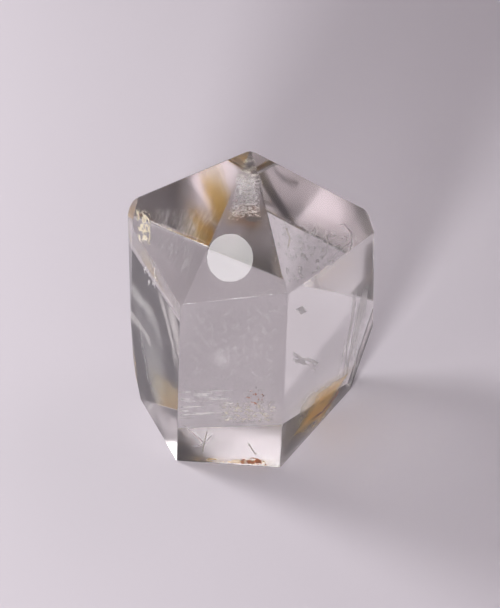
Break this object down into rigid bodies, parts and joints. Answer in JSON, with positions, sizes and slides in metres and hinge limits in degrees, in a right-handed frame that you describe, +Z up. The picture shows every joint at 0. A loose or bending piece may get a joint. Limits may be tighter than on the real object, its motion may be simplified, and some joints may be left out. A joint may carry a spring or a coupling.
{
  "type": "quartz crystal",
  "caption": "Clear colourless quartz crystal, a stout hexagonal prism with a pyramidal point, standing upright on a small flat.",
  "frame": {"origin": "under the middle of the crystal's footprint box, level with the flat that it stands on", "axes": "+Z up along the crystal's long axis towards the tip, the broad front prism face looks along -Y, +X to the right seen from the front"},
  "size_m": [0.0246, 0.019, 0.0357],
  "materials": {
    "clear_quartz": "smooth, glassy crystal faces with slightly worn edges, see-through, refractive index 1.544"
  },
  "bodies": {
    "root": {"quartz_crystal": "clear_quartz"}
  },
  "joints": []
}
